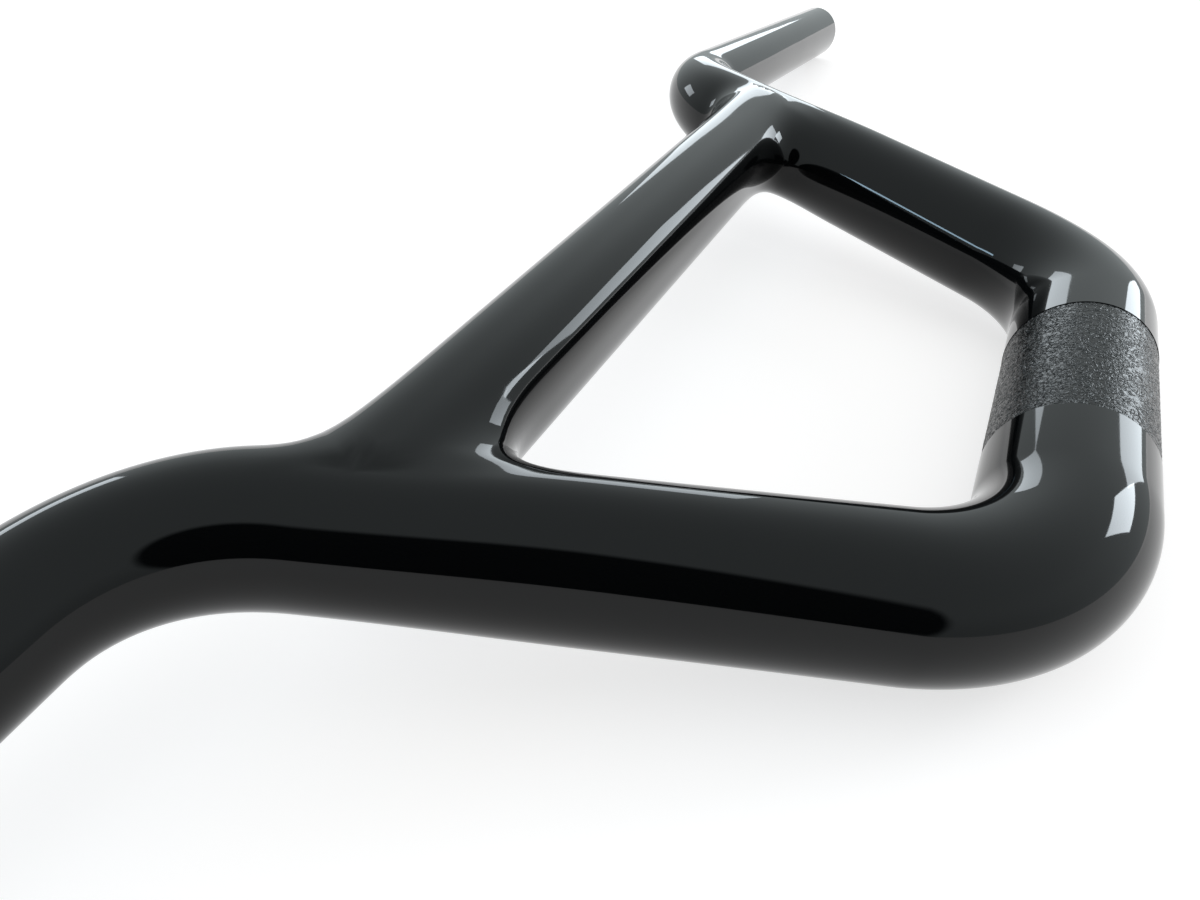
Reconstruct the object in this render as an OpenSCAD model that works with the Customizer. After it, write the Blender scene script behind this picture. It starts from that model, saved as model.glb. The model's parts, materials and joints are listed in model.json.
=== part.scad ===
// One-piece moulded handlebar for a small racing bicycle, lying flat as it comes to rest.
// The bar is drawn in its own plane: X along the clamp, Y along the rise, Z square to the plane.
// It is then tilted about the clamp's axis until both grip ends touch the ground with the clamp.
// Millimetres, +Z up, origin at the middle of the clamp.

/* [Clamp] */
// Diameter that a stem clamps, measured over the grit
clamp_d = 31.8; // [31:0.1:32.6]
// Length of the grit band round the middle of the clamp
grit_l = 47.6; // [40:0.2:60]
// Thickness of the grit layer
grit_t = 0.3; // [0.2:0.05:0.6]
// Wall of the tube at the clamp
clamp_wall = 3.6; // [3:0.1:5]

/* [Bends] */
// Distance from the clamp's middle to the corner of each lower bend
clamp_corner = 66.6; // [64:0.2:76]
// Rise from the clamp's axis to the corner of each top bend, along the bar's plane
rise = 134; // [126:0.4:150]
// How far each upright leans outwards over that rise
lean = 61.8; // [54:0.2:68]
// Centreline radius of each lower bend
lower_bend_r = 41.4; // [38:0.2:46]
// Centreline radius of each top bend
top_bend_r = 40; // [36:0.2:42]
// Width over both grip ends
overall_w = 680; // [600:2:760]
// Angle by which each grip sweeps back out of the bar's plane
backsweep = 5.4; // [3:0.1:9]

/* [Uprights] */
// Width of each upright at its foot, across the bar's plane
foot_w = 30.8; // [30:0.1:32]
// Width of each upright under its top bend
neck_w = 26; // [24:0.1:27]
// Thickness of each upright, square to the bar's plane
upright_t = 28.4; // [27:0.1:30]
// Thickness of each upright under its top bend
neck_t = 26.2; // [25:0.1:28]
// Wall of the uprights and bends
tube_wall = 2.6; // [2:0.1:3.2]

/* [Grips] */
// Diameter that the grips and brake clamps slide onto
grip_d = 22.2; // [21.8:0.1:23]
// Bore of each open end
bore_d = 17.2; // [16:0.1:18]
// Chamfer round the outside of each open end
end_chamfer = 0.6; // [0.3:0.1:1]

/* [Crossbar] */
// Distance from the clamp's axis to the middle of the crossbar, along the bar's plane
crossbar_y = 103.8; // [98:0.2:108]
// Width of the crossbar, across the bar's plane
crossbar_w = 22.2; // [20:0.1:25]
// Thickness of the crossbar, square to the bar's plane
crossbar_t = 26; // [24:0.1:27]
// How far the crossbar's middle lies above the bar's plane
crossbar_lift = 1.1; // [0:0.1:1.4]
// Wall of the crossbar
crossbar_wall = 2.6; // [2:0.1:3.2]
// Squareness of the crossbar's section, where 2 is an ellipse
crossbar_square = 2.7; // [2.2:0.1:3.5]
// Squareness of its section where it flares into an upright
flare_square = 2; // [2:0.1:3]
// Radius of the window's corners under the crossbar
window_r = 8; // [5:0.5:10]
// Length over which each web rises out of the crossbar's upper edge
web_l = 24; // [16:1:30]
// Slope at which it runs out onto the outside of the top bend
web_slope = 57; // [52:1:62]
// Thickness left where the crossbar ends inside an upright, as a share of its own
flare_share = 0.85; // [0.7:0.05:1]

/* [Hidden] */

// Sides of the outer skin's sections, and of the hollow inside
skin_sides = 36;
hollow_sides = 20;
// Turn between two neighbouring sections in a bend, and their number along an upright
bend_step = 5.5;
upright_steps = 6;
web_steps = 9;
// Length by which skin and round tube run into each other, and how much smaller the skin is there
lap = 3;
lap_gap = 0.03;
// Stretch of round tube that is left off beside each bend
bend_gap = 1;
// Bond line under the grit
bond_gap = 0.03;
// Facets of the round parts
$fn = 96;

clamp_r = clamp_d / 2;
grip_r = grip_d / 2;
bore_r = bore_d / 2;

function unit(v) = v / norm(v);
function mix(a, b, t) = a + (b - a) * t;
function ease(t) = let (c = min(1, max(0, t))) c * c * (3 - 2 * c);
function flip_x(p) = [-p.x, p.y, p.z];

// Directions of the clamp, an upright and a grip, and the corners between them
along = [1, 0, 0];
up_dir = unit([lean, rise, 0]);
grip_dir = [cos(backsweep), 0, -sin(backsweep)];
lower_corner = [clamp_corner, 0, 0];
top_corner = lower_corner + [lean, rise, 0];

// Turn of each bend, and its reach back from the corner
lower_turn = acos(along * up_dir);
top_turn = acos(up_dir * grip_dir);
lower_reach = lower_bend_r * tan(lower_turn / 2);
top_reach = top_bend_r * tan(top_turn / 2);

// Lengths of the five stretches of one half of the centreline
clamp_l = clamp_corner - lower_reach;
lower_arc = lower_bend_r * lower_turn * PI / 180;
upright_l = norm([lean, rise]) - lower_reach - top_reach;
top_arc = top_bend_r * top_turn * PI / 180;
end_x = overall_w / 2 - (grip_r - end_chamfer) * sin(backsweep);
grip_l = (end_x - top_corner.x) / grip_dir.x - top_reach;

// Distances along the centreline at which the stretches end
s_clamp = clamp_l;
s_foot = s_clamp + lower_arc;
s_neck = s_foot + upright_l;
s_grip = s_neck + top_arc;

// A bend's point: its start, the way in, the way out, its radius and the turn so far
function bend_point(start, d_in, d_out, r, turn) =
    let (side = unit(d_out - d_in * (d_in * d_out)))
    start + r * (d_in * sin(turn) + side * (1 - cos(turn)));
function bend_dir(d_in, d_out, turn) =
    let (side = unit(d_out - d_in * (d_in * d_out)))
    d_in * cos(turn) + side * sin(turn);

// Point and direction of the centreline's right half, at a distance s from the clamp's middle
function centre(s) =
    s < s_clamp ? along * s :
    s < s_foot ? bend_point(along * clamp_l, along, up_dir, lower_bend_r,
        (s - s_clamp) / lower_bend_r * 180 / PI) :
    s < s_neck ? lower_corner + up_dir * (lower_reach + s - s_foot) :
    s < s_grip ? bend_point(top_corner - up_dir * top_reach, up_dir, grip_dir, top_bend_r,
        (s - s_neck) / top_bend_r * 180 / PI) :
    top_corner + grip_dir * (top_reach + s - s_grip);
function heading(s) =
    s < s_clamp ? along :
    s < s_foot ? bend_dir(along, up_dir, (s - s_clamp) / lower_bend_r * 180 / PI) :
    s < s_neck ? up_dir :
    s < s_grip ? bend_dir(up_dir, grip_dir, (s - s_neck) / top_bend_r * 180 / PI) :
    grip_dir;

// Half width and half thickness of the tube, which ends its taper before the grip's straight
taper_end = mix(s_neck, s_grip, 0.9);
function half_size(s) =
    s < s_foot ? mix([clamp_r, clamp_r], [foot_w, upright_t] / 2,
        ease((s - s_clamp) / (s_foot - s_clamp))) :
    s < s_neck ? let (f = (s - s_foot) / (s_neck - s_foot))
        [mix(foot_w, neck_w, sin(90 * f)), mix(upright_t, neck_t, ease(2 * f - 1))] / 2 :
    mix([neck_w, neck_t] / 2, [grip_r, grip_r], ease((s - s_neck) / (taper_end - s_neck)));
// The wall thickens towards the clamp, and the hollow narrows to the bore of the open end
function wall_at(s) =
    s < s_foot ? mix(clamp_wall, tube_wall, ease((s - s_clamp) / (s_foot - s_clamp))) :
    mix(tube_wall, grip_r - bore_r, ease((s - s_neck) / (taper_end - s_neck)));

// Section of n sides square to a heading: an ellipse with its thickness nearest to Z
function section(c, dir, w, t, n) =
    let (across = unit([0, 0, 1] - dir * dir.z), side = cross(across, dir))
    [for (i = [0:n - 1]) c + side * w * cos(360 * i / n) + across * t * sin(360 * i / n)];
function skin_section(s) =
    let (h = half_size(s))
    section(centre(s), heading(s), h[0] - lap_gap, h[1] - lap_gap, skin_sides);
function hollow_section(s) =
    let (h = half_size(s), k = wall_at(s) + lap_gap)
    section(centre(s), heading(s), h[0] - k, h[1] - k, hollow_sides);
function hollow_section_left(s) =
    let (h = half_size(s), k = wall_at(s) + lap_gap, d = heading(s))
    section(flip_x(centre(s)), [d.x, -d.y, -d.z], h[0] - k, h[1] - k, hollow_sides);

// Distances at which sections stand, closest together in the bends
lower_steps = ceil(lower_turn / bend_step);
top_steps = ceil(top_turn / bend_step);
stops = concat(
    [s_clamp - lap],
    [for (i = [0:lower_steps]) mix(s_clamp, s_foot, i / lower_steps)],
    [for (i = [1:upright_steps]) mix(s_foot, s_neck, i / upright_steps)],
    [for (i = [1:top_steps]) mix(s_neck, s_grip, i / top_steps)],
    [s_grip + lap]
);

// Closed solid through a row of sections that all have the same number of points
module loft(rows) {
    n = len(rows[0]);
    last = len(rows) - 1;
    points = [for (row = rows) each row];
    sides = [for (i = [0:last - 1], j = [0:n - 1])
        let (a = i * n + j, b = i * n + (j + 1) % n)
        each [[a, a + n, b + n], [a, b + n, b]]];
    start_cap = [for (j = [0:n - 1]) j];
    end_cap = [for (j = [n - 1:-1:0]) last * n + j];
    polyhedron(points, concat(sides, [start_cap, end_cap]), convexity = 10);
}

// Superellipse that stands between a lower and an upper point of the crossbar's outline
function power_of(v, square) = sign(v) * pow(abs(v), 2 / square);
function web_section(low, high, t, square, n) =
    let (mid = (low + high) / 2, half = (high - low) / 2)
    [for (i = [0:n - 1]) [each mid, crossbar_lift]
        + [each half * power_of(cos(360 * i / n), square), t * power_of(sin(360 * i / n), square)]];

// Window corner: a circle that touches the crossbar's lower edge and the upright's inner edge
crossbar_low = crossbar_y - crossbar_w / 2;
crossbar_high = crossbar_y + crossbar_w / 2;
out_dir = [up_dir.y, -up_dir.x];
joint_half = half_size(mix(s_foot, s_neck, 0.7))[0];
window_y = crossbar_low - window_r;
window_c = [clamp_corner + (up_dir.x * window_y - joint_half - window_r) / up_dir.y, window_y];
window_end = atan2(out_dir.y, out_dir.x);
// Web: a curve that leaves the crossbar's upper edge and runs out onto the outside of the top bend
bend_c = (top_corner - up_dir * top_reach) + [up_dir.y, -up_dir.x, 0] * top_bend_r;
web_end = spoke([bend_c.x, bend_c.y], top_bend_r + neck_w / 2, 90 + web_slope);
web_knee = [web_end.x - (web_end.y - crossbar_high) / tan(web_slope), crossbar_high];
web_start = web_knee - [web_l, 0];
function web_point(t) = mix(mix(web_start, web_knee, t), mix(web_knee, web_end, t), t);

function spoke(c, r, a) = c + r * [cos(a), sin(a)];
// Rows of lower and upper points from the crossbar's middle to inside the upright
web_low = concat(
    [[0, crossbar_low]],
    [for (i = [0:web_steps]) spoke(window_c, window_r, mix(90, window_end, i / web_steps))],
    [spoke(window_c, window_r + joint_half, window_end)]
);
web_high = concat(
    [[0, crossbar_high]],
    [for (i = [0:web_steps]) web_point(i / web_steps)],
    [spoke([bend_c.x, bend_c.y], top_bend_r, 90 + web_slope)]
);

module half_tube() {
    loft([for (s = stops) skin_section(s)]);
}

module crossbar() {
    last = len(web_low) - 1;
    rows = [for (i = [0:last]) let (f = ease(i / last))
        web_section(web_low[i], web_high[i], mix(1, flare_share, f) * crossbar_t / 2,
            mix(crossbar_square, flare_square, f), skin_sides)];
    flipped = [for (i = [len(rows) - 1:-1:1]) [for (p = rows[i]) flip_x(p)]];
    loft(concat(flipped, rows));
}

// Places its children at the inner end of a grip's straight, with Z along the grip
module at_grip() {
    translate(top_corner + grip_dir * (top_reach + bend_gap)) rotate([0, 90 + backsweep, 0])
        children();
}

// Round end of the bar for a grip, chamfered at its open end
module grip_end() {
    round_l = grip_l - bend_gap;
    at_grip() rotate_extrude() polygon([
        [0, 0], [grip_r, 0], [grip_r, round_l - end_chamfer],
        [grip_r - end_chamfer, round_l], [0, round_l]
    ]);
}

module bore() {
    at_grip() cylinder(r = bore_r, h = grip_l);
}

// Hollow of the tube from grip to grip, and of the crossbar between the uprights
module hollow() {
    loft(concat(
        [for (i = [len(stops) - 1:-1:0]) hollow_section_left(stops[i])],
        [for (s = stops) hollow_section(s)]
    ));
    reach = clamp_corner + crossbar_y * lean / rise;
    inner = [crossbar_w / 2 - crossbar_wall, crossbar_t / 2 - crossbar_wall];
    loft([for (x = [-reach, reach]) web_section([x, crossbar_y - inner[0]],
        [x, crossbar_y + inner[0]], inner[1], crossbar_square, hollow_sides)]);
}

// Tilt at which the foot of each grip end comes level with the foot of the clamp
grip_foot = top_corner + grip_dir * (top_reach + grip_l - end_chamfer);
function tilt_for(slope) =
    asin((grip_r * sqrt(1 - slope * slope) - clamp_r) / norm([grip_foot.y, grip_foot.z]))
    - atan2(grip_foot.z, grip_foot.y);
tilt = tilt_for(grip_dir.z * cos(tilt_for(grip_dir.z)));

module along_x(r, l) {
    rotate([0, 90, 0]) cylinder(r = r, h = l, center = true);
}

module handlebar() {
    color("#101214") rotate([tilt, 0, 0]) difference() {
        union() {
            half_tube();
            mirror([1, 0, 0]) half_tube();
            crossbar();
            along_x(clamp_r, 2 * (clamp_l - bend_gap));
            grip_end();
            mirror([1, 0, 0]) grip_end();
        }
        hollow();
        bore();
        mirror([1, 0, 0]) bore();
        difference() {
            along_x(clamp_d, grit_l);
            along_x(clamp_r - grit_t - bond_gap, grit_l + 1);
        }
    }
}

// Sprayed grit that keeps the bar from turning in the stem
module clamp_grit_band() {
    color("#3a3d40") difference() {
        along_x(clamp_r, grit_l);
        along_x(clamp_r - grit_t, grit_l + 1);
    }
}

handlebar();
clamp_grit_band();
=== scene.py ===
"""Looks of the one-piece BMX handlebar: lacquered skin, grit band, floor, lights and camera."""

import json
import math

import bmesh
import bpy
import numpy as np
from mathutils import Matrix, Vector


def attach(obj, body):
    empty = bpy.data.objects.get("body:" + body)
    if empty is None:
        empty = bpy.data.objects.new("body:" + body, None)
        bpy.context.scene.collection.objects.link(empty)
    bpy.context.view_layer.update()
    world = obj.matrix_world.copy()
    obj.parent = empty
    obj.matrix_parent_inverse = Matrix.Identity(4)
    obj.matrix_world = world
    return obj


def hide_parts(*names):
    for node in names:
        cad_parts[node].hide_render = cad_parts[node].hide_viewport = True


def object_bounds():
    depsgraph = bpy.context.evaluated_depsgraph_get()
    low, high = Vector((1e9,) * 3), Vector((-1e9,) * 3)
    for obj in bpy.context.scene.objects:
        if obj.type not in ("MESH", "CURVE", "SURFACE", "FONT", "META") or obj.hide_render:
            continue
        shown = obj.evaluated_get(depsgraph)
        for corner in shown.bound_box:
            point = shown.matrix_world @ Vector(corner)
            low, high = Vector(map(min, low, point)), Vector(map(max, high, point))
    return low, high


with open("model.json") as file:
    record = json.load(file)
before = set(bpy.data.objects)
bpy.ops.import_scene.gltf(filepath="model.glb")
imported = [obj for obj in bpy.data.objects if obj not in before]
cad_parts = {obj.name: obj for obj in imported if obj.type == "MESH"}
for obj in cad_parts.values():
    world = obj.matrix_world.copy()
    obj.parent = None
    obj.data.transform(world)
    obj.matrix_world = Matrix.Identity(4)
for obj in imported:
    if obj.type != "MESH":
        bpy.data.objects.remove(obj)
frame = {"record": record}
cad_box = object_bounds()

MM = 0.001

# Driving sizes of the bar, in millimetres and degrees
mounts = {m["name"]: m for m in frame["record"]["mounts"]}
CLAMP_R = mounts["stem_clamp"]["dims"]["r_mm"]
GRIP_R = mounts["grip_right"]["dims"]["r_mm"]
BORE_R = mounts["end_bore_right"]["dims"]["r_mm"]
GRIT_L = 47.6
GRIT_T = 0.3
BOND = 0.03
CLAMP_CORNER = 66.6
RISE = 134.0
LEAN = 61.8
LOWER_BEND_R = 41.4
TOP_BEND_R = 40.0
OVERALL_W = 680.0
BACKSWEEP = 5.4
FOOT = np.array([30.8, 28.4]) / 2
NECK = np.array([26.0, 26.2]) / 2
TAPER_END = 0.9
CLAMP_WALL = 3.6
TUBE_WALL = 2.6
END_CHAMFER = 0.6
BORE_EDGE = 0.2
CROSSBAR_Y = 103.8
CROSSBAR_HALF = np.array([22.2, 26.0]) / 2
CROSSBAR_LIFT = 1.1
CROSSBAR_SQUARE = 2.7

# How far the oval stretches lie inside the CAD solid, so that the blends stay inside its box
SKIN_IN = 0.1

# Blend of crossbar and upright: reach in the window and in the web, how much steeper the web's
# side of the crossbar is, the rounding of the crossbar's hidden end and the width of the fades
WINDOW_BLEND = 40.0
WEB_BLEND = 110.0
WEB_LEAN = 3.4
HIDDEN_END = 6.0
FADE = 16.0

# Joint's patches: where they start on each stretch, their rows, and the way and reach of the
# seams through the window's corner and through the web
PATCH_BELOW = 48.0
PATCH_ABOVE = 44.0
PATCH_BESIDE = 90.0
PATCH_ROWS = 26
WINDOW_WAY = (-0.86, -0.52, 0)
WINDOW_REACH = 27.0
WEB_WAY = (-0.58, 0.81, 0)
WEB_REACH = 21.0

# Search for the skin: length of a probe, number of steps, longest step and least slope squared
PROBE = 0.02
SKIN_STEPS = 12
LONGEST_STEP = 2.5
LEAST_SLOPE = 0.25

# Points round each ring, samples of an outline, and spacing of the rings along each stretch
SIDES = 96
OUTLINE_SAMPLES = 4097
CLAMP_STEP = 2.0
BEND_STEP = 1.2
UPRIGHT_STEP = 1.6
GRIP_STEP = 4.0
HOLLOW_STEP = 8.0

# Wrinkled grit: depth of its valleys, number of crossed waves, spread of their pitch and of
# their angles, and how far and how often each wave is bent
GRIT_DEPTH = 0.24
GRIT_WAVES = 7
GRIT_PITCH = (0.9, 2.2)
GRIT_STRAY = 0.8
GRIT_BEND = 0.35
BENDS_ROUND = (9, 13)
BENDS_ALONG = (0.9, 1.3)
TANGLE = (0.8, 2.3)
GRIT_SEED = 7
GRIT_SIDES = 320
GRIT_ROWS = 152
GRIT_RIM = 0.5
RIM_HEIGHT = 0.6

# Angles, in degrees, past which an edge stays crisp, and distance in metres that merges points
SKIN_CRISP = 32
BAND_CRISP = 60
MERGE = 2e-7


def unit(v):
    return v / np.linalg.norm(v)


def mix(a, b, t):
    return a + (b - a) * t


def ease(t):
    """Smooth step: 3 t^2 - 2 t^3 between 0 and 1, and flat outside."""
    c = np.clip(t, 0, 1)
    return c * c * (3 - 2 * c)


# The right half's centreline: its corners, and the length along it at which each stretch ends
ALONG = np.array([1.0, 0, 0])
UP = np.array([0, 0, 1.0])
UPRIGHT = unit(np.array([LEAN, RISE, 0]))
GRIP = np.array([math.cos(math.radians(BACKSWEEP)), 0, -math.sin(math.radians(BACKSWEEP))])
LOWER_CORNER = ALONG * CLAMP_CORNER
TOP_CORNER = LOWER_CORNER + np.array([LEAN, RISE, 0])
LOWER_TURN = math.acos(ALONG @ UPRIGHT)
TOP_TURN = math.acos(UPRIGHT @ GRIP)
LOWER_REACH = LOWER_BEND_R * math.tan(LOWER_TURN / 2)
TOP_REACH = TOP_BEND_R * math.tan(TOP_TURN / 2)
END_X = OVERALL_W / 2 - (GRIP_R - END_CHAMFER) * math.sin(math.radians(BACKSWEEP))
S_CLAMP = CLAMP_CORNER - LOWER_REACH
S_FOOT = S_CLAMP + LOWER_BEND_R * LOWER_TURN
S_NECK = S_FOOT + math.hypot(LEAN, RISE) - LOWER_REACH - TOP_REACH
S_GRIP = S_NECK + TOP_BEND_R * TOP_TURN
S_END = S_GRIP + (END_X - TOP_CORNER[0]) / GRIP[0] - TOP_REACH


def bar_tilt():
    """Tilt, in radians, that brings the foot of each grip end level with the foot of the clamp."""
    foot = TOP_CORNER + GRIP * (TOP_REACH + S_END - S_GRIP - END_CHAMFER)
    tilt = 0.0
    for _ in range(3):
        slope = GRIP[2] * math.cos(tilt)
        drop = GRIP_R * math.sqrt(1 - slope * slope) - CLAMP_R
        tilt = math.asin(drop / math.hypot(foot[1], foot[2])) - math.atan2(foot[2], foot[1])
    return tilt


TILT = bar_tilt()


def to_row(p):
    """Points in the bar's own plane, in millimetres, turned by the tilt about X, in metres."""
    c, s = math.cos(TILT), math.sin(TILT)
    x, y, z = p[..., 0], p[..., 1], p[..., 2]
    return np.stack([x, y * c - z * s, y * s + z * c], axis=-1) * MM


def arc(start, way_in, way_out, radius, turn):
    """Points and headings of a bend: start + r (sin t, 1 - cos t) in the plane of both ways."""
    side = unit(way_out - way_in * (way_in @ way_out))
    s, c = np.sin(turn)[:, None], np.cos(turn)[:, None]
    return start + radius * (s * way_in + (1 - c) * side), c * way_in + s * side


def centreline(s):
    """Points and headings of the right half: straight, bend, straight, bend, straight."""
    s = np.asarray(s, float)
    pieces = [
        (ALONG * s[:, None], np.broadcast_to(ALONG, (len(s), 3))),
        arc(ALONG * S_CLAMP, ALONG, UPRIGHT, LOWER_BEND_R, (s - S_CLAMP) / LOWER_BEND_R),
        (LOWER_CORNER + UPRIGHT * (LOWER_REACH + s - S_FOOT)[:, None],
         np.broadcast_to(UPRIGHT, (len(s), 3))),
        arc(TOP_CORNER - UPRIGHT * TOP_REACH, UPRIGHT, GRIP, TOP_BEND_R, (s - S_NECK) / TOP_BEND_R),
        (TOP_CORNER + GRIP * (TOP_REACH + s - S_GRIP)[:, None], np.broadcast_to(GRIP, (len(s), 3))),
    ]
    which = np.searchsorted([S_CLAMP, S_FOOT, S_NECK, S_GRIP], s, side="right")
    points = np.stack([p for p, _ in pieces])[which, np.arange(len(s))]
    headings = np.stack([h for _, h in pieces])[which, np.arange(len(s))]
    return points, headings


def past_clamp(s):
    """0 on the clamp, 1 from the upright's foot on, and eased round the lower bend."""
    return ease((s - S_CLAMP) / (S_FOOT - S_CLAMP))


def into_grip(s):
    """0 up to the neck, 1 on the grip, and eased round most of the top bend."""
    return ease((s - S_NECK) / (TAPER_END * (S_GRIP - S_NECK)))


def half_sizes(s):
    """Half width and half thickness: eased round to oval, a sine taper up, eased to the grip."""
    low = past_clamp(s)
    f = np.clip((s - S_FOOT) / (S_NECK - S_FOOT), 0, 1)
    high = into_grip(s)
    width = mix(mix(CLAMP_R, FOOT[0], low), NECK[0], np.sin(f * math.pi / 2))
    thick = mix(mix(CLAMP_R, FOOT[1], low), NECK[1], ease(2 * f - 1))
    inset = SKIN_IN * low * (1 - high)
    return mix(width, GRIP_R, high) - inset, mix(thick, GRIP_R, high) - inset


def section_axes(headings):
    """Unit vectors across each section: one nearest to Z, and one square to it and the heading."""
    across = UP - headings * headings[:, 2:3]
    across /= np.linalg.norm(across, axis=1, keepdims=True)
    return np.cross(across, headings), across


def rings(s, width, thick):
    """Ellipses round the centreline: centre + side w cos a + across t sin a."""
    points, headings = centreline(s)
    side, across = section_axes(headings)
    a = 2 * math.pi * np.arange(SIDES) / SIDES
    w = np.broadcast_to(width, s.shape)[:, None, None] * np.cos(a)[None, :, None]
    t = np.broadcast_to(thick, s.shape)[:, None, None] * np.sin(a)[None, :, None]
    return points[:, None] + side[:, None] * w + across[:, None] * t


def skin_rings(s):
    """Ellipses of the bar's own half width and half thickness."""
    return rings(s, *half_sizes(s))


def crossbar_ring(x):
    """Superellipse of the crossbar at x, with its points evenly spaced along its outline."""
    a = np.linspace(0, 2 * math.pi, OUTLINE_SAMPLES)
    e = 2 / CROSSBAR_SQUARE
    y = CROSSBAR_HALF[0] * np.sign(np.cos(a)) * np.abs(np.cos(a)) ** e
    z = CROSSBAR_HALF[1] * np.sign(np.sin(a)) * np.abs(np.sin(a)) ** e
    run = np.concatenate([[0], np.cumsum(np.hypot(np.diff(y), np.diff(z)))])
    at = run[-1] * np.arange(SIDES) / SIDES
    return np.stack([np.full(SIDES, x), CROSSBAR_Y + np.interp(at, run, y),
                     CROSSBAR_LIFT + np.interp(at, run, z)], axis=-1)


def tube_depth(p):
    """Radial distance of points from the bar's oval skin, and its outward direction.

    The nearest of some stations on the centreline is moved along it until the point lies square
    to it. With k the point's share of the oval there, the distance is its radius times 1 - 1/k.
    """
    stations = np.linspace(S_FOOT - 10, S_GRIP + 20, 400)
    c, h = centreline(stations)
    at = stations[np.argmin(((p[:, None] - c[None]) ** 2).sum(-1), axis=1)]
    for _ in range(3):
        c, h = centreline(at)
        at = at + ((p - c) * h).sum(-1)
    c, h = centreline(at)
    side, across = section_axes(h)
    w, t = half_sizes(at)
    u = ((p - c) * side).sum(-1)
    v = ((p - c) * across).sum(-1)
    k = np.hypot(u / w, v / t)
    out = side * (u / w ** 2)[:, None] + across * (v / t ** 2)[:, None]
    return np.hypot(u, v) * (1 - 1 / k), out / np.linalg.norm(out, axis=1, keepdims=True)


def smooth_max(a, b, k):
    """The greater of a and b, and h^3 k / 6 more where they are closer than k."""
    h = np.maximum(k - np.abs(a - b), 0) / k
    return np.maximum(a, b) + h ** 3 * k / 6


# The joint lies where the upright's centreline crosses the crossbar's
JOINT_S = S_FOOT + (CROSSBAR_Y - (LOWER_CORNER + UPRIGHT * LOWER_REACH)[1]) / UPRIGHT[1]
JOINT = centreline([JOINT_S])[0][0]
INWARD = np.array([-UPRIGHT[1], UPRIGHT[0], 0])


def crossbar_depth(p):
    """Radial distance from the crossbar's skin, cut off at the upright's centreline."""
    n = CROSSBAR_SQUARE
    y, z = p[:, 1] - CROSSBAR_Y, p[:, 2] - CROSSBAR_LIFT
    k = (np.abs(y / CROSSBAR_HALF[0]) ** n + np.abs(z / CROSSBAR_HALF[1]) ** n) ** (1 / n)
    out = np.stack([np.zeros_like(y),
                    np.sign(y) * np.abs(y) ** (n - 1) / CROSSBAR_HALF[0] ** n,
                    np.sign(z) * np.abs(z) ** (n - 1) / CROSSBAR_HALF[1] ** n], axis=-1)
    out /= np.linalg.norm(out, axis=1, keepdims=True)
    depth = np.hypot(y, z) * (1 - 1 / k)
    past = -((p - JOINT) @ INWARD)
    return smooth_max(depth, past, HIDDEN_END), out


def skin_depth(p):
    """Smooth union of bar and crossbar: the lesser depth, less h^3 k / 6 where they are close.

    k is the reach of the blend. It grows with the angle between the two skins, so it fades out
    over the crown where they run level, and it is small in the window and large in the web.
    """
    d1, n1 = tube_depth(p)
    d2, n2 = crossbar_depth(p)
    turn = (1 - (n1 * n2).sum(-1)) / 2
    web = ease((p[:, 1] - CROSSBAR_Y) / FADE + 0.5)
    inside = ease(((p - JOINT) @ INWARD + FADE / 2) / FADE)
    k = np.maximum(mix(WINDOW_BLEND, WEB_BLEND, web) * turn * inside, 1e-3)
    d2 = d2 * mix(1.0, WEB_LEAN, web * inside)
    h = np.maximum(k - np.abs(d1 - d2), 0) / k
    return np.minimum(d1, d2) - h ** 3 * k / 6


def onto_skin(p):
    """Newton steps that move points along the depth's gradient until their depth is nothing."""
    flat = p.reshape(-1, 3).copy()
    for _ in range(SKIN_STEPS):
        d = skin_depth(flat)
        g = np.stack([(skin_depth(flat + PROBE * e) - skin_depth(flat - PROBE * e)) / (2 * PROBE)
                      for e in np.eye(3)], axis=-1)
        move = (d / np.maximum((g * g).sum(-1), LEAST_SLOPE))[:, None] * g
        flat -= np.clip(move, -LONGEST_STEP, LONGEST_STEP)
    return flat.reshape(p.shape)


def joint_seams():
    """Three curves from crown to keel where the two stretches of bar and the crossbar meet.

    Each is half an ellipse round the joint: outside the upright, in the window's corner and
    in the web. They are moved onto the skin once, so that the surfaces share their points.
    """
    a = 2 * math.pi * np.arange(SIDES) / SIDES
    w, t = half_sizes(np.array([JOINT_S]))
    ways = ((INWARD, w[0]), (unit(np.array(WINDOW_WAY)), WINDOW_REACH),
            (unit(np.array(WEB_WAY)), WEB_REACH))
    return [onto_skin(JOINT + way * reach * np.cos(a)[:, None] + UP * t[0] * np.sin(a)[:, None])
            for way, reach in ways]


# The half of a ring that faces the crossbar
INNER = np.cos(2 * math.pi * np.arange(SIDES) / SIDES) > 1e-9


def joint_rows():
    """Rows of points that lead each of the three stretches into the joint's seams.

    A row is a straight mix of the stretch's first ring and its seam, or on the upper stretch the
    bar's own ring with the seam's offset faded in, and it is then moved onto the skin.
    """
    outside, window, web = joint_seams()
    lower_end = np.where(INNER[:, None], window, outside)
    upper_end = np.where(INNER[:, None], web, outside)
    back = (SIDES // 2 - np.arange(SIDES)) % SIDES
    bar_end = np.where(INNER[:, None], web, window[back])
    f = np.linspace(0, 1, PATCH_ROWS + 1)[:, None, None]
    s_low, s_high, x_bar = JOINT_S - PATCH_BELOW, JOINT_S + PATCH_ABOVE, JOINT[0] - PATCH_BESIDE
    low = mix(skin_rings(np.array([s_low]))[0], lower_end, f)
    stops = mix(s_high, JOINT_S, f[:, 0, 0])
    high = skin_rings(stops) + f ** 1.5 * (upper_end - skin_rings(np.array([JOINT_S]))[0])
    bar = mix(crossbar_ring(x_bar), bar_end, f)
    rows = []
    for block, end in ((low, lower_end), (high, upper_end), (bar, bar_end)):
        block = block.copy()
        block[1:-1] = onto_skin(block[1:-1])
        block[-1] = end
        rows.append(block)
    return rows, (s_low, s_high, x_bar)


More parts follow.
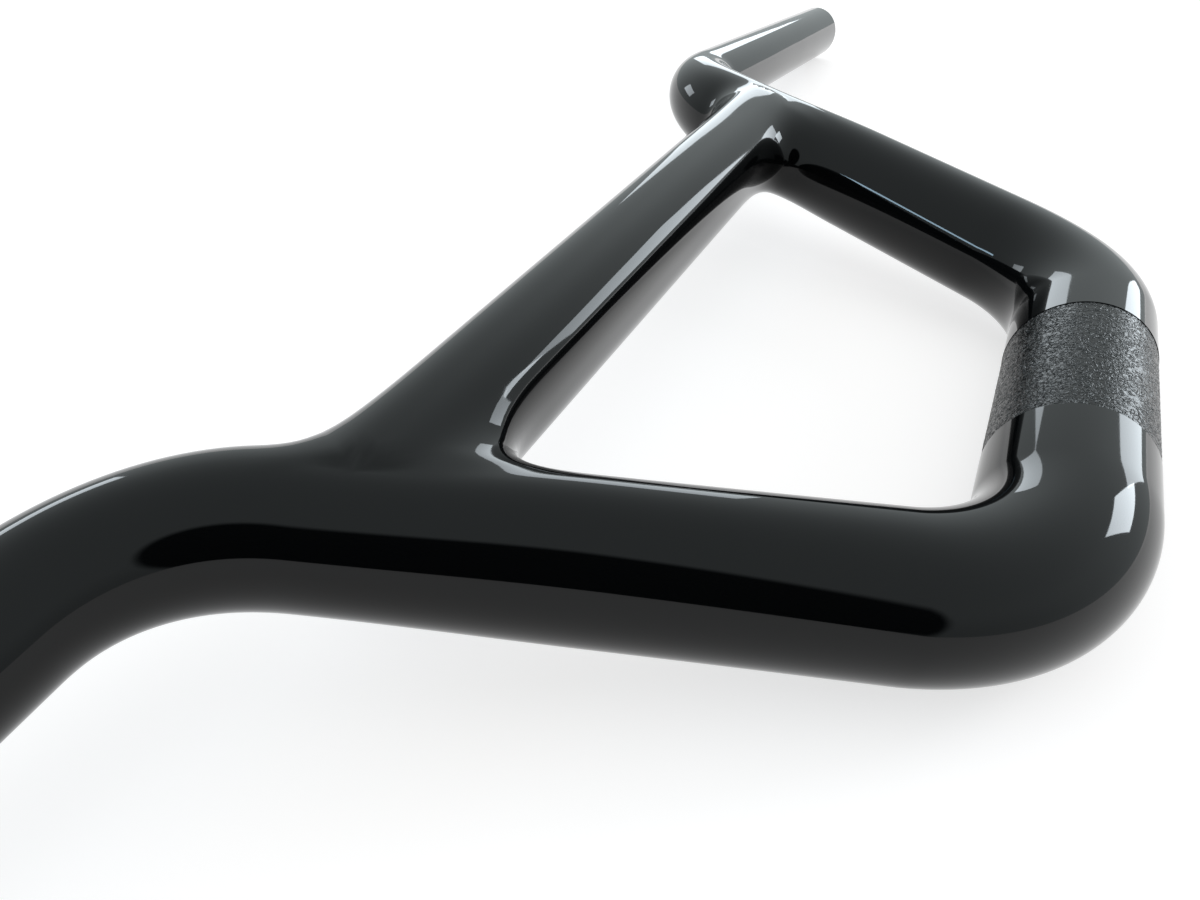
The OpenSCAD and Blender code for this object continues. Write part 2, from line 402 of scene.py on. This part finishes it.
def grid_faces(rows, sides, start=0, closed=False):
    """Quads of a grid whose rows close round on themselves, and its columns too where closed."""
    i, j = np.meshgrid(np.arange(rows if closed else rows - 1), np.arange(sides), indexing="ij")
    below, beside = (i + 1) % rows, (j + 1) % sides
    corners = [i * sides + j, i * sides + beside, below * sides + beside, below * sides + j]
    return start + np.stack(corners, axis=-1).reshape(-1, 4)


def finished_piece(name, points, faces, crisp, merge=0.0):
    """Object with merged points, outward smooth faces, and crisp edges past an angle."""
    mesh = bpy.data.meshes.new(name)
    mesh.from_pydata(points, [], faces.tolist())
    shape = bmesh.new()
    shape.from_mesh(mesh)
    if merge:
        bmesh.ops.remove_doubles(shape, verts=shape.verts, dist=merge)
    bmesh.ops.recalc_face_normals(shape, faces=shape.faces)
    for face in shape.faces:
        face.smooth = True
    for edge in shape.edges:
        edge.smooth = edge.calc_face_angle(0.0) < math.radians(crisp)
    shape.to_mesh(mesh)
    shape.free()
    piece = bpy.data.objects.new(name, mesh)
    bpy.context.scene.collection.objects.link(piece)
    return piece


def mirrored(grid):
    """The left half's points: those of the right half with their x turned round."""
    return grid * np.array([-1.0, 1, 1])


def spaced(a, b, step):
    """Stations from a to b, as near to the step apart as whole steps allow."""
    return np.linspace(a, b, max(2, int(round((b - a) / step)) + 1))


def hollow_rings():
    """Rings inside the bar: its ellipses less a wall that thins past the clamp and at the grip."""
    s = np.concatenate([spaced(0, S_CLAMP, HOLLOW_STEP), spaced(S_CLAMP, S_GRIP, GRIP_STEP)[1:],
                        spaced(S_GRIP, S_END, HOLLOW_STEP)[1:]])
    width, thick = half_sizes(s)
    wall = mix(mix(CLAMP_WALL, TUBE_WALL, past_clamp(s)), GRIP_R - BORE_R, into_grip(s))
    return rings(s, width - wall, thick - wall)


def bar_skin():
    """Closed skin of the whole bar: outside, both end faces and the hollow from end to end.

    Each stretch is a grid of rings along the centreline or the crossbar. The stretches share
    their end rings, and the left half is the right half mirrored.
    """
    (below, above, beside), (s_low, s_high, x_bar) = joint_rows()
    groove_r = CLAMP_R - GRIT_T - BOND
    half_grit = GRIT_L / 2
    groove = rings(np.array([0.0, half_grit]), groove_r, groove_r)
    shoulder = rings(np.array([half_grit, half_grit]), np.array([groove_r, CLAMP_R]),
                     np.array([groove_r, CLAMP_R]))
    lower = skin_rings(np.concatenate([
        spaced(half_grit, S_CLAMP, CLAMP_STEP), spaced(S_CLAMP, S_FOOT, BEND_STEP)[1:],
        spaced(S_FOOT, s_low, UPRIGHT_STEP)[1:]]))
    upper = skin_rings(np.concatenate([
        spaced(s_high, S_GRIP, BEND_STEP), spaced(S_GRIP, S_END - END_CHAMFER, GRIP_STEP)[1:]]))
    middle = np.stack([crossbar_ring(x) for x in spaced(0.0, x_bar, CLAMP_STEP)])
    edge_r = np.array([GRIP_R, GRIP_R - END_CHAMFER, mix(GRIP_R, BORE_R, 0.5),
                       BORE_R + BORE_EDGE, BORE_R])
    edge = rings(np.full(5, S_END) - np.array([END_CHAMFER, 0, 0, 0, 0]), edge_r, edge_r)
    half = [groove, shoulder, lower, below, above[::-1], upper, edge, hollow_rings(), middle, beside]
    grids = half + [mirrored(g) for g in half]
    points = np.concatenate([g.reshape(-1, 3) for g in grids])
    starts = np.cumsum([0] + [g.shape[0] * SIDES for g in grids[:-1]])
    faces = np.concatenate([grid_faces(g.shape[0], SIDES, s) for g, s in zip(grids, starts)])
    return finished_piece("lacquered_bar", to_row(points), faces, SKIN_CRISP, MERGE)


def grit_relief(u, v):
    """Height of the wrinkled grit: the folds of several crossed waves, each bent by the others.

    A fold is 1 - |sin|, so its crests are narrow ridges with rounded valleys between them. The
    waves run at spread angles over about a millimetre and close up round the band.
    """
    draw = np.random.default_rng(GRIT_SEED)
    height = np.zeros(np.broadcast(u, v).shape)
    around = 2 * math.pi * CLAMP_R
    bend_u = GRIT_BEND * np.sin(2 * math.pi * BENDS_ROUND[0] * u / around + BENDS_ALONG[0] * v)
    bend_v = (GRIT_BEND * np.sin(BENDS_ALONG[1] * v)
              * np.cos(2 * math.pi * BENDS_ROUND[1] * u / around))
    for wave in range(GRIT_WAVES):
        angle = math.pi * (wave + draw.uniform(0, GRIT_STRAY)) / GRIT_WAVES
        number = 2 * math.pi / draw.uniform(*GRIT_PITCH)
        turns = np.round(number * math.cos(angle) * around / (2 * math.pi))
        phase = (2 * math.pi * turns * (u + bend_u) / around
                 + number * math.sin(angle) * (v + bend_v) + draw.uniform(0, 2 * math.pi))
        height += 1 - np.abs(np.sin(phase + TANGLE[0] * np.sin(height * TANGLE[1])))
    return height / GRIT_WAVES


def grit_band():
    """Sleeve of grit in its groove: a wrinkled outside, plain ends and a plain inside.

    The outside is a cylinder of the clamp's radius less depth times 1 - relief, with the relief
    lowered at both rims.
    """
    around = np.arange(GRIT_SIDES) * 2 * math.pi / GRIT_SIDES
    along = np.linspace(-GRIT_L / 2, GRIT_L / 2, GRIT_ROWS)
    relief = grit_relief(around[None, :] * CLAMP_R, along[:, None])
    relief = (relief - relief.min()) / (relief.max() - relief.min())
    rim = ease((GRIT_L / 2 - np.abs(along)) / GRIT_RIM)[:, None]
    outside = CLAMP_R - GRIT_DEPTH * (1 - relief * mix(RIM_HEIGHT, 1.0, rim))
    inside = np.full((2, GRIT_SIDES), CLAMP_R - GRIT_T)
    radius = np.concatenate([outside, inside])
    x = np.concatenate([along, [GRIT_L / 2, -GRIT_L / 2]])
    points = np.stack([np.broadcast_to(x[:, None], radius.shape),
                       radius * np.cos(around), radius * np.sin(around)], axis=-1) * MM
    faces = grid_faces(len(x), GRIT_SIDES, closed=True)
    return finished_piece("grit_band", points.reshape(-1, 3), faces, BAND_CRISP)


def principled(name):
    """New material with its nodes, links and shader."""
    material = bpy.data.materials.new(name)
    material.use_nodes = True
    nodes = material.node_tree.nodes
    return material, nodes, material.node_tree.links, nodes["Principled BSDF"]


def noise(nodes, links, scale, detail=2.0, rough=0.5, warp=0.0):
    """Noise over Object coordinates, with its scale in waves to the metre."""
    place = nodes.new("ShaderNodeTexCoord")
    texture = nodes.new("ShaderNodeTexNoise")
    texture.inputs["Scale"].default_value = scale
    texture.inputs["Detail"].default_value = detail
    texture.inputs["Roughness"].default_value = rough
    texture.inputs["Distortion"].default_value = warp
    links.new(place.outputs["Object"], texture.inputs["Vector"])
    return texture.outputs["Fac"]


def mapped(nodes, links, value, source, target, eased=False):
    """Maps one range onto another, in a straight line or eased, and flat outside."""
    node = nodes.new("ShaderNodeMapRange")
    node.interpolation_type = "SMOOTHSTEP" if eased else "LINEAR"
    node.inputs["From Min"].default_value, node.inputs["From Max"].default_value = source
    node.inputs["To Min"].default_value, node.inputs["To Max"].default_value = target
    links.new(value, node.inputs["Value"])
    return node.outputs["Result"]


def sums(nodes, links, operation, value, other=None):
    """One step of arithmetic with a second value that is a number, a socket or none."""
    node = nodes.new("ShaderNodeMath")
    node.operation = operation
    links.new(value, node.inputs[0])
    if isinstance(other, (int, float)):
        node.inputs[1].default_value = other
    elif other is not None:
        links.new(other, node.inputs[1])
    return node.outputs["Value"]


def bump(nodes, links, value, distance, strength, below=None):
    """Slope of a height in metres, over a slope below it where there is one."""
    node = nodes.new("ShaderNodeBump")
    node.inputs["Distance"].default_value = distance
    node.inputs["Strength"].default_value = strength
    links.new(value, node.inputs["Height"])
    if below is not None:
        links.new(below, node.inputs["Normal"])
    return node.outputs["Normal"]


# The stretch of a noise's values that most of its surface has
NOISE_MIDDLE = (0.3, 0.7)

# Lacquer: black, index of refraction, haze in the gloss and slow ripple of the surface
LACQUER_BLACK = (0.0022, 0.0024, 0.0026, 1)
LACQUER_IOR = 1.33
HAZE_SCALE = 60.0
HAZE = (0.03, 0.055)
RIPPLE_SCALE = 22.0
RIPPLE_HEIGHT = 0.0006
RIPPLE_STRENGTH = 0.25

# Grit: near-black own colour with painted shade in the valleys and a painted glint on the ridges,
# index of refraction, gloss, and its ridges and grains
VALLEY_PAINTED_SHADE = (0.0018, 0.0022, 0.0025, 1)
RIDGE_PAINTED_GLINT = (0.0115, 0.0135, 0.015, 1)
GRIT_IOR = 1.33
GLINT_SCALE = 1400.0
GLINT = (0.14, 0.34)
RIDGE_SCALE = 560.0
RIDGE_WARP = 1.2
RIDGE_WIDTH = 0.09
RIDGE_HEIGHT = 0.00025
RIDGE_STRENGTH = 0.9
GRAIN_SCALE = 2600.0
GRAIN_HEIGHT = 0.0001
GRAIN_STRENGTH = 0.5

# Floor: the share that light and shadow give, the even share that shows as white, and its reach
FLOOR_LIT = (0.54, 0.5, 0.49)
FLOOR_GLOW = 0.66
FLOOR_ROUGH = 0.9
FLOOR_REACH = 6.0


def black_lacquer():
    """Piano-black clear coat: a faint slow ripple in the gloss and a trace of polishing haze."""
    material, nodes, links, shader = principled("black_lacquer")
    shader.inputs["Base Color"].default_value = LACQUER_BLACK
    shader.inputs["IOR"].default_value = LACQUER_IOR
    haze = mapped(nodes, links, noise(nodes, links, HAZE_SCALE, 4.0), NOISE_MIDDLE, HAZE)
    links.new(haze, shader.inputs["Roughness"])
    wave = noise(nodes, links, RIPPLE_SCALE, 1.0)
    ripple = bump(nodes, links, wave, RIPPLE_HEIGHT, RIPPLE_STRENGTH)
    links.new(ripple, shader.inputs["Normal"])
    return material


def band_grit():
    """Charcoal grit under a thin lacquer, wrinkled into short bent ridges, its colour darkened in
    the valleys as painted shade and lightened on the ridges as a painted glint.

    A ridge follows the line where a warped noise is at its middle: it is highest where
    |noise - 0.5| is nothing and eases down to nothing at the ridge's width.
    """
    material, nodes, links, shader = principled("band_grit")
    warped = noise(nodes, links, RIDGE_SCALE, 1.0, warp=RIDGE_WARP)
    away = sums(nodes, links, "ABSOLUTE", sums(nodes, links, "SUBTRACT", warped, 0.5))
    ridges = mapped(nodes, links, away, (0.0, RIDGE_WIDTH), (1.0, 0.0), eased=True)
    # Base colour from the ridge mask: painted shade darkens the valleys and a painted glint lightens
    # the ridges
    painted_shade_and_glint = nodes.new("ShaderNodeValToRGB")
    painted_shade_and_glint.color_ramp.elements[0].color = VALLEY_PAINTED_SHADE
    painted_shade_and_glint.color_ramp.elements[1].color = RIDGE_PAINTED_GLINT
    links.new(ridges, painted_shade_and_glint.inputs["Fac"])
    links.new(painted_shade_and_glint.outputs["Color"], shader.inputs["Base Color"])
    shader.inputs["IOR"].default_value = GRIT_IOR
    glint = mapped(nodes, links, noise(nodes, links, GLINT_SCALE), NOISE_MIDDLE, GLINT)
    links.new(glint, shader.inputs["Roughness"])
    wrinkles = bump(nodes, links, ridges, RIDGE_HEIGHT, RIDGE_STRENGTH)
    grains = noise(nodes, links, GRAIN_SCALE, 3.0, 0.6)
    links.new(bump(nodes, links, grains, GRAIN_HEIGHT, GRAIN_STRENGTH, wrinkles),
              shader.inputs["Normal"])
    return material


def white_floor():
    """Floor that keeps the bar's shadow, and is white to the camera, in gloss and through glass."""
    material, nodes, links, shader = principled("white_floor")
    shader.inputs["Base Color"].default_value = (*FLOOR_LIT, 1)
    shader.inputs["Roughness"].default_value = FLOOR_ROUGH
    shader.inputs["Specular IOR Level"].default_value = 0.0
    shader.inputs["Emission Color"].default_value = (1, 1, 1, 1)
    ray = nodes.new("ShaderNodeLightPath")
    seen = ray.outputs["Is Camera Ray"]
    for kind in ("Is Glossy Ray", "Is Transmission Ray"):
        seen = sums(nodes, links, "MAXIMUM", seen, ray.outputs[kind])
    links.new(sums(nodes, links, "MULTIPLY", seen, FLOOR_GLOW), shader.inputs["Emission Strength"])
    return material


# Camera, worked out from the outline in the photograph: place, turn, focal length and shift
PHOTO_W = 1200
SENSOR_W = 36.0
NEAREST = 0.005
CAM_PLACE = (-206.498, 29.603, 108.292)
CAM_YAW = 0.4196
CAM_PITCH = -0.6991
CAM_ROLL = 0.0413
CAM_FOCUS = 964.57
CAM_SHIFT = (-56.84, 89.81)

# Studio: tint, level from horizon to overhead, and the dark place's direction and edge
STUDIO_TINT = (0.90, 0.985, 1.0, 1)
STUDIO_RISE = (0.0, 0.45)
STUDIO_LEVEL = (0.7, 0.9)
DARK_PLACE = (-150, 20)
DARK_EDGE = (0.868, 0.912)

# Soft boxes round the bar: azimuth, elevation, distance, size, radiance and colour
LAMP_AIM = np.array([0.0, 0.07, 0.0])
COOL = (0.86, 0.94, 1.0)
BLUE = (0.55, 0.8, 1.0)
LAMPS = (
    ("window_high", -44, 21, 2.2, (0.62, 0.50), 11.0, COOL),
    ("window_low", -28, 12, 2.2, (0.60, 0.60), 5.0, COOL),
    ("back_box", 16, 11, 2.2, (0.66, 0.46), 3.2, COOL),
    ("side_strip", 126, 20, 1.5, (1.00, 0.07), 20.0, BLUE),
    ("side_box", 68, 14, 1.8, (0.42, 0.30), 5.0, COOL),
    ("side_dash", 97, 8, 1.5, (0.10, 0.12), 16.0, BLUE),
)


def placed(name, data, axes, place):
    """Object that looks down its own Z, from three axes and a place in metres."""
    holder = bpy.data.objects.new(name, data)
    turn = np.eye(4)
    turn[:3, :3] = np.stack(axes, axis=1)
    turn[:3, 3] = place
    holder.matrix_world = Matrix(turn.tolist())
    bpy.context.scene.collection.objects.link(holder)
    return holder


def add_camera():
    """Camera at the photograph's place, turned by yaw and pitch and rolled about its own line."""
    camera = bpy.data.cameras.new("camera")
    camera.sensor_fit = "HORIZONTAL"
    camera.sensor_width = SENSOR_W
    camera.lens = CAM_FOCUS * camera.sensor_width / PHOTO_W
    camera.shift_x = -CAM_SHIFT[0] / PHOTO_W
    camera.shift_y = CAM_SHIFT[1] / PHOTO_W
    camera.clip_start = NEAREST
    forward = np.array([math.cos(CAM_PITCH) * math.cos(CAM_YAW),
                        math.cos(CAM_PITCH) * math.sin(CAM_YAW), math.sin(CAM_PITCH)])
    right = unit(np.cross(forward, UP))
    top = np.cross(right, forward)
    c, s = math.cos(CAM_ROLL), math.sin(CAM_ROLL)
    right, top = c * right + s * top, c * top - s * right
    axes = (right, top, -forward)
    bpy.context.scene.camera = placed("camera", camera, axes, np.array(CAM_PLACE) * MM)


def add_floor():
    """Level square under the bar, at the foot of the CAD's box."""
    z, reach = cad_box[0][2], FLOOR_REACH
    corners = [(-reach, -reach, z), (reach, -reach, z), (reach, reach, z), (-reach, reach, z)]
    mesh = bpy.data.meshes.new("floor")
    mesh.from_pydata(corners, [], [(0, 1, 2, 3)])
    floor = bpy.data.objects.new("floor", mesh)
    floor.data.materials.append(white_floor())
    bpy.context.scene.collection.objects.link(floor)


def sky_dir(azimuth, elevation):
    """Unit vector towards an azimuth from +X and an elevation, both in degrees."""
    a, e = math.radians(azimuth), math.radians(elevation)
    return np.array([math.cos(e) * math.cos(a), math.cos(e) * math.sin(a), math.sin(e)])


def add_lamp(name, azimuth, elevation, distance, size, radiance, color):
    """Soft box that faces the bar from a place in the studio, as bright as its radiance says."""
    lamp = bpy.data.lights.new(name, "AREA")
    lamp.shape = "RECTANGLE"
    lamp.size, lamp.size_y = size
    lamp.energy = radiance * math.pi * size[0] * size[1]
    lamp.color = color
    out = sky_dir(azimuth, elevation)
    side = unit(np.cross(UP, out))
    holder = placed(name, lamp, (side, np.cross(out, side), out), out * distance + LAMP_AIM)
    holder.visible_camera = False


def add_world():
    """Pale studio, brighter overhead, with a round dark place behind the camera."""
    world = bpy.data.worlds.new("studio")
    world.use_nodes = True
    nodes, links = world.node_tree.nodes, world.node_tree.links
    way = nodes.new("ShaderNodeTexCoord")
    part = nodes.new("ShaderNodeSeparateXYZ")
    links.new(way.outputs["Generated"], part.inputs["Vector"])
    pale = mapped(nodes, links, part.outputs["Z"], STUDIO_RISE, STUDIO_LEVEL, eased=True)
    toward = nodes.new("ShaderNodeVectorMath")
    toward.operation = "DOT_PRODUCT"
    toward.inputs[1].default_value = sky_dir(*DARK_PLACE)
    links.new(way.outputs["Generated"], toward.inputs[0])
    lit = mapped(nodes, links, toward.outputs["Value"], DARK_EDGE, (1.0, 0.0), eased=True)
    links.new(sums(nodes, links, "MULTIPLY", pale, lit), nodes["Background"].inputs["Strength"])
    nodes["Background"].inputs["Color"].default_value = STUDIO_TINT
    bpy.context.scene.world = world


bar = bar_skin()
bar.data.materials.append(black_lacquer())
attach(bar, "root")
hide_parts("handlebar")

band = grit_band()
band.data.materials.append(band_grit())
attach(band, "root")
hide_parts("clamp_grit_band")

add_floor()
add_camera()
add_world()
for lamp in LAMPS:
    add_lamp(*lamp)

bpy.context.scene.view_settings.view_transform = "Standard"
